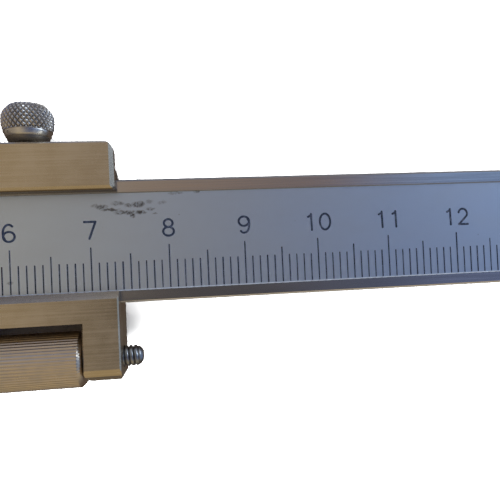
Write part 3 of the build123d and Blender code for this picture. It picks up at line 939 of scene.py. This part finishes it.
@dataclass
class VernierScale:
    """The vernier's lines on the plate's slope, and its numerals on the flat below them."""

    zero: float = 16.0
    divisions: int = 20
    step: float = 0.95
    edge: Flat = (-6.42, 6.15)
    crest: Flat = (-9.0, 7.2)
    tops: float = 0.12
    lengths: Flat = (1.5, 2.05)
    line_width: float = 0.12
    lettering: Lettering = Lettering(1.15, 0.13, 0.95)
    numeral_foot: float = -10.45

    def build(self, ink: Material) -> None:
        """Makes the lines and the numerals in the given ink."""
        fall = Vector((0.0, self.edge[0] - self.crest[0], self.edge[1] - self.crest[1])).normalized()
        slope = InkPen(DrawingPlane((0.0, self.edge[0], self.edge[1]), (1.0, 0.0, 0.0), tuple(fall)))
        flat = InkPen(level_plane(self.crest[1]))
        lines, numerals = Shell(), Shell()
        for mark in range(self.divisions + 1):
            x = self.zero + mark * self.step
            length = self.lengths[1] if mark % 2 == 0 else self.lengths[0]
            slope.strip(lines, [(x, -self.tops), (x, -self.tops - length)], self.line_width)
            if mark % 2 == 0:
                self.lettering.write(flat, numerals, str(mark // 2), x, self.numeral_foot)
        lines.piece("vernier_lines", Body.SLIDER, Slot.INK, ink)
        numerals.piece("vernier_numerals", Body.SLIDER, Slot.INK, ink)


# ---------------------------------------------------------------- turned pieces
@dataclass
class LockScrew:
    """A finger screw: a plain shank, a smooth tapered ring and a barrel head with a diamond knurl.

    The ring's and the crown's stations are places along the screw and radii. The crown's steps are counted
    from the barrel's end, upwards and inwards.
    """

    name: str
    node: str
    body: Body
    x: float
    tip: float = 9.9
    tip_chamfer: float = 0.2
    shank: float = 1.5
    shank_end: float = 12.95
    smooth_ring: tuple[Flat, ...] = (
        (13.0, 1.9),
        (13.08, 2.03),
        (13.3, 2.33),
        (13.65, 2.57),
        (13.85, 2.63),
        (13.92, 2.66),
        (14.0, 2.74),
        (14.12, 2.8),
        (14.5, 2.95),
        (14.62, 2.98),
        (14.68, 2.96),
    )
    barrel: Barrel = Barrel(3.29, (14.72, 18.1), 1.02, 0.24)
    crown_steps: tuple[Flat, ...] = ((0.07, 0.35), (0.11, 0.8), (0.14, 1.3))
    crown: Flat = (18.26, 0.3)
    starts: int = 30
    diamond_high: float = 0.80
    knurl_depth: float = 0.2
    knurl_run_out: Flat = (0.12, 0.3)
    samples: int = 12

    def _knurled(self, y: float) -> Radius:
        """The barrel's radius by angle, round the ring at y."""
        outer = self.barrel.at(y)
        low, high = self.barrel.ends
        fade = min(1.0, (y - low) / self.knurl_run_out[0], (high - y) / self.knurl_run_out[1])

        def radius(angle: float) -> float:
            turn = self.starts * angle / (2 * math.pi)
            climb = (y - low) / self.diamond_high
            ridges = [1 - abs(2 * ((turn + sign * climb) % 1.0) - 1) for sign in (1, -1)]
            height = min(1.0, 1.1 * min(ridges))
            return outer - self.knurl_depth * max(0.0, fade) * (1 - height)

        return radius

    def build(self, material: Material) -> None:
        """Makes the screw with the given finish."""
        low, high = self.barrel.ends
        rings: list[Ring] = [
            (self.tip, self.shank - self.tip_chamfer),
            (self.tip + self.tip_chamfer, self.shank),
            (self.shank_end, self.shank),
            *self.smooth_ring,
        ]
        count = round((high - low) / self.diamond_high * self.samples)
        for n in range(count + 1):
            y = low + (high - low) * n / count
            rings.append((y, self._knurled(y)))
        edge = self.barrel.at(high)
        rings += [(high + rise, edge - inset) for rise, inset in self.crown_steps]
        rings.append(self.crown)
        axis = TurningAxis((self.x, 0.0, AXIS_HEIGHT), (0.0, 1.0, 0.0), (1.0, 0.0, 0.0))
        shell = turned(axis, rings, self.starts * self.samples, helix=True)
        made = shell.piece(self.name, self.body, Slot.KNURLED, material, 50.0)
        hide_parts(self.node)


@dataclass
class FineAdjustNut:
    """The long round nut: straight ribs along it, smooth chamfers at its ends and a bore for the rod."""

    ends: Flat = (55.4, 68.68)
    radius: float = 3.645
    bore: float = 1.43
    mouth: float = 0.25
    chamfer: float = 0.55
    lead: float = 0.12
    round_over: float = 0.16
    land_drop: float = 0.02
    ribs: int = 54
    rib_depth: float = 0.085
    samples: int = 10

    def _ribbed(self, angle: float) -> float:
        """The radius of the ribbed length at an angle."""
        crest = 0.5 - 0.5 * math.cos(self.ribs * angle)
        return self.radius - self.rib_depth * (1 - crest)

    def build(self, material: Material) -> None:
        """Makes the nut with the given finish."""
        left, right = self.ends
        face = self.radius - self.chamfer
        half: list[Ring] = [
            (0.0, self.bore + self.mouth),
            (0.0, face),
            (self.lead, face + self.round_over),
            (self.chamfer, self.radius - self.land_drop),
            (self.chamfer + self.lead, self._ribbed),
        ]
        rings = [(left + inwards, radius) for inwards, radius in half]
        rings += [(right - inwards, radius) for inwards, radius in reversed(half)]
        rings += [(right - self.mouth, self.bore), (left + self.mouth, self.bore)]
        shell = turned(ROD_AXIS, rings, self.ribs * self.samples, bored=True)
        made = shell.piece("fine_adjust_nut_ribbed", Body.NUT, Slot.KNURLED, material, 50.0)
        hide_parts("fine_adjust_nut")


@dataclass
class ThreadedRod:
    """The rod of the fine adjustment: plain in the slider's boss, then threaded to its rounded end."""

    start: float = 37.0
    thread_start: float = 46.3
    end: float = 76.0
    radius: float = 1.355
    pitch: float = 0.6
    depth: float = 0.24
    groove_share: float = 0.62
    groove_power: float = 1.3
    run_in: float = 0.5
    chamfer: float = 0.3
    rounded_end: float = 0.75
    end_drops: Flat = (0.08, 0.6)
    steps: int = 48
    samples: int = 10

    def _thread(self, x: float) -> Radius:
        """The thread's radius by angle, round the ring at x."""
        limit = self.radius
        into_end = max(0.0, (x - self.end) / self.rounded_end + 1)
        if into_end:
            limit -= self.end_drops[0] + self.end_drops[1] * into_end ** 2
        run_in = min(1.0, max(0.0, (x - self.thread_start) / self.run_in))

        def radius(angle: float) -> float:
            phase = (x / self.pitch - angle / (2 * math.pi)) % 1.0
            groove = max(0.0, 1 - abs(2 * phase - 1) / self.groove_share)
            return min(self.radius - self.depth * run_in * groove ** self.groove_power, limit)

        return radius

    def build(self, material: Material) -> None:
        """Makes the rod with the given finish."""
        rings: list[Ring] = [
            (self.start, self.radius - self.chamfer),
            (self.start + self.chamfer, self.radius),
            (self.thread_start, self.radius),
        ]
        count = round((self.end - self.thread_start) / self.pitch * self.samples)
        for n in range(1, count + 1):
            x = self.thread_start + (self.end - self.thread_start) * n / count
            rings.append((x, self._thread(x)))
        shell = turned(ROD_AXIS, rings, self.steps)
        made = shell.piece("fine_adjust_rod_threaded", Body.SLIDER, Slot.SCREW, material, 60.0)
        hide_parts("fine_adjust_rod")


@dataclass
class GibSpring:
    """The carriage's leaf spring, bent up at both ends outside the carriage."""

    ends: Flat = CARRIAGE_ENDS
    low: float = 8.06
    clearance: float = 0.01
    thick: float = 0.34
    heights: Flat = (2.1, 5.0)
    straight: float = 4.0
    bend: Flat = (0.41, 0.30)
    bend_inset: float = 0.42
    hook: float = 1.35
    hook_inset: float = 0.33

    def _path(self) -> list[Flat]:
        """The leaf's middle line, from the left hook's tip to the right hook's."""
        half = self.thick / 2
        middle = self.low + half + self.clearance
        right = self.ends[1] - half
        path = [(right - self.straight, middle), (right - self.bend_inset, middle)]
        path += arc((right - self.bend_inset, middle + self.bend[1]), self.bend, -80, 0, 8)
        tip = Vector((right - self.hook_inset, self.low + self.hook + self.thick))
        start = Vector(path[-1])
        path += [tuple(start.lerp(tip, share)) for share in (0.35, 0.7, 1.0)]
        centre = (self.ends[0] + self.ends[1]) / 2
        mirrored = [(2 * centre - x, y) for x, y in reversed(path)]
        return mirrored + path

    def build(self, material: Material) -> None:
        """Makes the spring with the given finish, as one tall strip."""
        low, high = self.heights
        pen = InkPen(level_plane(low), high - low, 0.0)
        shell = Shell()
        pen.strip(shell, self._path(), self.thick)
        made = shell.piece("carriage_gib_leaf", Body.CARRIAGE, Slot.SPRING, material, 40.0)
        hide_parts("carriage_gib_spring")


# ---------------------------------------------------------------- studio
@dataclass(frozen=True)
class SoftLight:
    """A soft lamp: its place, what it looks at and its sides, in millimetres, then its colour and power."""

    name: str
    place: Point
    target: Point
    size: Flat
    colour: Colour
    power: float
    in_reflections: bool = True

    def build(self) -> None:
        """Hangs the lamp."""
        data = bpy.data.lights.new(self.name, "AREA")
        data.shape = "RECTANGLE"
        data.size, data.size_y = self.size[0] * MM, self.size[1] * MM
        data.color, data.energy = self.colour, self.power
        lamp = bpy.data.objects.new(self.name, data)
        bpy.context.scene.collection.objects.link(lamp)
        lamp.visible_glossy = self.in_reflections
        aim = (Vector(self.target) - Vector(self.place)).to_track_quat("-Z", "Y")
        lamp.matrix_world = Matrix.Translation(Vector(self.place) * MM) @ aim.to_matrix().to_4x4()


@dataclass(frozen=True)
class Band:
    """A band of directions: its outer edges, and the inner edges between which it is full."""

    outer: Flat
    inner: Flat

    def mask(self, part: Signal) -> Signal:
        """1 in the band and 0 outside it, by one part of the direction."""
        return part.step(self.outer[0], self.inner[0]) * part.step(self.outer[1], self.inner[1])


@dataclass
class RoomLight:
    """The room's soft light: warm walls to the left, cool ones to the right, and a mostly dark ceiling.

    A pair named as a turn says where, along one part of the direction, one colour turns into the next.
    """

    bench: Colour = (0.12, 0.09, 0.07)
    near_wall: Colour = (0.54, 0.43, 0.27)
    low_near: Colour = (0.24, 0.215, 0.185)
    far_wall: Colour = (0.29, 0.33, 0.50)
    far_shade: Colour = (0.66, 0.68, 0.72)
    left_wall: Colour = (0.40, 0.33, 0.25)
    right_wall: Colour = (0.31, 0.40, 0.58)
    ceiling: tuple[tuple[float, Colour], ...] = (
        (0.0, (0.55, 0.45, 0.32)),
        (0.45, (0.295, 0.285, 0.30)),
        (1.0, (0.075, 0.11, 0.23)),
    )
    dark_middle: Flat = (-0.01, -0.10)
    dark_size: Flat = (0.27, 0.15)
    dark_turn: Flat = (1.6, 0.1)
    near_beam: Colour = (0.055, 0.05, 0.055)
    near_sky: Colour = (0.36, 0.42, 0.66)
    near_turn: Flat = (0.34, 0.52)
    near_strip: Band = Band((-0.08, -0.03), (-0.065, -0.042))
    near_start: Flat = (-0.15, 0.0)
    far_beam: Colour = (0.37, 0.235, 0.14)
    far_sky: Colour = (0.50, 0.72, 1.15)
    far_turn: Flat = (0.24, 0.5)
    far_strip: Band = Band((0.105, 0.20), (0.125, 0.16))
    far_start: Flat = (-0.2, -0.1)
    side_turn: Flat = (-0.9, 0.9)
    far_shade_turn: Flat = (-0.2, -0.05)
    far_side_turn: Flat = (0.35, 0.85)
    low_near_turn: Flat = (-0.03, -0.12)
    near_side_turn: Flat = (-0.35, -0.7)
    ceiling_turn: Flat = (0.8, 0.55)
    bench_turn: Flat = (-0.25, -0.5)

    def _overhead(self, graph: NodeGraph, x: Signal, y: Signal) -> Socket:
        """The ceiling's colour: left to right, a dark patch, and a bright strip at each side of it."""
        across = (x * 0.9 + 0.45).step(0.0, 1.0)
        ceiling = graph.node("ShaderNodeValToRGB", {"stops": self.ceiling}, {0: across})
        from_middle = (x - self.dark_middle[0]) / self.dark_size[0]
        up_from_middle = (y - self.dark_middle[1]) / self.dark_size[1]
        dark = (from_middle ** 2.0 + up_from_middle ** 2.0).step(*self.dark_turn)
        shaded = graph.blend(dark * 0.85, ceiling, self.near_beam)
        near = graph.blend(x.step(*self.near_turn), self.near_beam, self.near_sky)
        near_strip = self.near_strip.mask(y) * x.step(*self.near_start)
        shaded = graph.blend(near_strip * 0.85, shaded, near)
        far = graph.blend(x.step(*self.far_turn), self.far_beam, self.far_sky)
        far_strip = self.far_strip.mask(y) * x.step(*self.far_start)
        return graph.blend(far_strip * 0.9, shaded, far)

    def _walls(self, graph: NodeGraph, x: Signal, y: Signal, z: Signal) -> Socket:
        """The walls' colour, left, right, far and near."""
        sides = graph.blend(x.step(*self.side_turn), self.left_wall, self.right_wall)
        far_side = graph.blend(x.step(*self.far_shade_turn), self.far_wall, self.far_shade)
        sides = graph.blend(y.step(*self.far_side_turn), sides, far_side)
        near_side = graph.blend(z.step(*self.low_near_turn), self.near_wall, self.low_near)
        return graph.blend(y.step(*self.near_side_turn), sides, near_side)

    def build(self) -> None:
        """Fills the room with light."""
        world = bpy.data.worlds.new("room")
        bpy.context.scene.world = world
        world.use_nodes = True
        graph = NodeGraph(world.node_tree)
        x, y, z = graph.axes(graph.node("ShaderNodeTexCoord", None, None, "Generated"))
        overhead, walls = self._overhead(graph, x, y), self._walls(graph, x, y, z)
        room = graph.blend(z.step(*self.ceiling_turn), overhead, walls)
        colour = graph.blend(z.step(*self.bench_turn), room, self.bench)
        background = graph.node("ShaderNodeBackground", None, {"Color": colour, "Strength": 1.0})
        graph.node("ShaderNodeOutputWorld", None, {"Surface": background})
        LOG.info("room light set")


def sheet_lamp(name: str, y: float) -> SoftLight:
    """A wide lamp that lights the floor from one side and isn't seen in the metal."""
    return SoftLight(name, (85.0, y, 800.0), (85.0, 0.0, 0.0), (1800.0, 700.0), (1.0, 1.0, 1.0), 170.0, False)


@dataclass
class Studio:
    """The plain floor, the room's light, the lamps and the camera."""

    floor_half: float = 3000.0
    floor_height: float = -0.02
    eye: Point = (82.7, -3.14, 71.59)
    forward: Point = (0.1189, 0.0188, -0.9927)
    up: Point = (0.0433, 0.9988, 0.0241)
    lens: float = 36.0
    sensor: float = 36.0
    lamps: tuple[SoftLight, ...] = (
        sheet_lamp("sheet_above", 1100.0),
        sheet_lamp("sheet_below", -1100.0),
        SoftLight("window", (600.0, 220.0, 160.0), (75.0, 0.0, 5.0), (240.0, 240.0), (0.80, 0.90, 1.0), 0.9),
    )

    def build_floor(self) -> None:
        """Lays the floor just under the caliper."""
        half, low = self.floor_half, self.floor_height
        corners = [Vector((x * half, y * half, low)) for x, y in ((-1, -1), (1, -1), (1, 1), (-1, 1))]
        mesh = bpy.data.meshes.new("floor")
        mesh.from_pydata([c * MM for c in corners], [], [(0, 1, 2, 3)])
        mesh.materials.append(PaleFloor().material())
        floor = bpy.data.objects.new("floor", mesh)
        bpy.context.scene.collection.objects.link(floor)
        floor.visible_glossy = False
        LOG.info("floor laid")

    def build_camera(self) -> None:
        """Places the camera."""
        forward, up = Vector(self.forward).normalized(), Vector(self.up)
        right = forward.cross(up).normalized()
        up = right.cross(forward)
        turn = Matrix((right, up, -forward)).transposed().to_4x4()
        data = bpy.data.cameras.new("camera")
        data.lens, data.sensor_width = self.lens, self.sensor
        data.clip_start, data.clip_end = 0.005, 20.0
        camera = bpy.data.objects.new("camera", data)
        bpy.context.scene.collection.objects.link(camera)
        camera.matrix_world = Matrix.Translation(Vector(self.eye) * MM) @ turn
        bpy.context.scene.camera = camera
        bpy.context.scene.view_settings.view_transform = "Standard"
        LOG.info("camera placed")

    def build(self) -> None:
        """Sets up the studio."""
        self.build_floor()
        RoomLight().build()
        for lamp in self.lamps:
            lamp.build()
        self.build_camera()


# ---------------------------------------------------------------- the caliper
SPRING_TONES = (0.34, 0.35, 0.38), (0.24, 0.24, 0.26)
# Painted shade on the carriage: under the upper lip, and low on the walls of the nut's slot.
UPPER_LIP_UNDERSIDE = Hollow((40.0, 6.0, 5.0), (90.0, 6.85, 6.78), 0.88)
NUT_SLOT_WALLS = Hollow((55.0, -18.0, -1.0), (69.0, -10.1, 3.4), 0.95, 0.9)


def solid_finishes() -> dict[Finish, tuple[str, ...]]:
    """The finishes of the design's solids that keep their shape, and the nodes that wear each."""
    return {
        ScaleSteel("satin_chrome_beam"): ("main_beam",),
        GroundSteel("ground_slider"): ("end_stop", "slider_frame", "slider_back_cover", "depth_rod"),
        GroundSteel("ground_carriage", hollows=(UPPER_LIP_UNDERSIDE, NUT_SLOT_WALLS)): ("carriage_body",),
        PlainMetal(
            "satin_vernier_plate", (0.60, 0.60, 0.60), (0.52, 0.51, 0.50), 0.42, Grain.FINE_ALONG_X
        ): ("vernier_plate",),
        PlainMetal("spring_leaf", *SPRING_TONES, 0.28): ("slider_gib_strip",),
        PlainMetal("turned_screws", (0.42, 0.41, 0.40), (0.28, 0.27, 0.26), 0.3): (
            "end_stop_screws", "back_cover_screws", "vernier_screws", "gib_set_screws", "depth_rod_screw",
            "rod_pin",
        ),
        PlainMetal("brass_pad", (0.72, 0.52, 0.24), (0.55, 0.38, 0.18), 0.32): (
            "carriage_lock_pad", "slider_lock_pad",
        ),
    }


def dress_solids() -> None:
    """Gives every solid that keeps its shape its finish."""
    for finish, nodes in solid_finishes().items():
        material = finish.material()
        for node in nodes:
            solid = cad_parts[node]
            solid.data.materials.clear()
            solid.data.materials.append(material)
            LOG.info("%s: dressed as %s", node, material.name)


def lock_screw_finish(name: str, x: float) -> TurnedSteel:
    """The finish of the lock screw at x: its knurl darkened, partly old grease and partly painted shade, and
    painted shade under its head.
    """
    # Painted shade under the head.
    underside = Hollow((x - 3.0, 12.9, 0.0), (x + 3.0, 13.9, 7.4), 0.8, 0.05)
    return TurnedSteel(
        name + "_finish",
        (x, AXIS_HEIGHT),
        True,
        LockScrew.barrel,
        LockScrew.knurl_depth,
        reach=(14.8, 18.0),
        hollows=(underside,),
    )


def build_caliper() -> None:
    """Builds and dresses the caliper's sub-assemblies in order."""
    dress_solids()
    ink = ScaleInk().material()
    MainScale().build(ink)
    VernierScale().build(ink)
    for node, body, x in (
        ("carriage_lock_screw", Body.CARRIAGE_SCREW, CARRIAGE_SCREW_X),
        ("slider_lock_screw", Body.SLIDER_SCREW, SLIDER_SCREW_X),
    ):
        name = node + "_knurled"
        LockScrew(name, node, body, x).build(lock_screw_finish(name, x).material())
    nut = TurnedSteel(
        "nut_finish",
        (ROD_Y, AXIS_HEIGHT),
        False,
        Barrel(FineAdjustNut.radius),
        depth=0.12,
        reach=(56.2, 67.9),
        tint=(0.64, 0.56, 0.46),
        roughness=0.30,
        dirt_and_shade=0.35,
    )
    FineAdjustNut().build(nut.material())
    rod = TurnedSteel(
        "rod_finish",
        (ROD_Y, AXIS_HEIGHT),
        False,
        Barrel(ThreadedRod.radius),
        ThreadedRod.depth,
        reach=(46.0, 75.6),
        tint=(0.26, 0.29, 0.33),
    )
    ThreadedRod().build(rod.material())
    GibSpring().build(PlainMetal("gib_leaf", *SPRING_TONES, 0.25).material())


def write_sizes() -> None:
    """Logs one line; no box is measured or written."""
    LOG.info("sizes written")


def main() -> None:
    """Builds the caliper and its studio."""
    logging.basicConfig(level=logging.INFO, format="%(name)s: %(message)s")
    build_caliper()
    Studio().build()
    write_sizes()


if __name__ == "__main__":
    main()
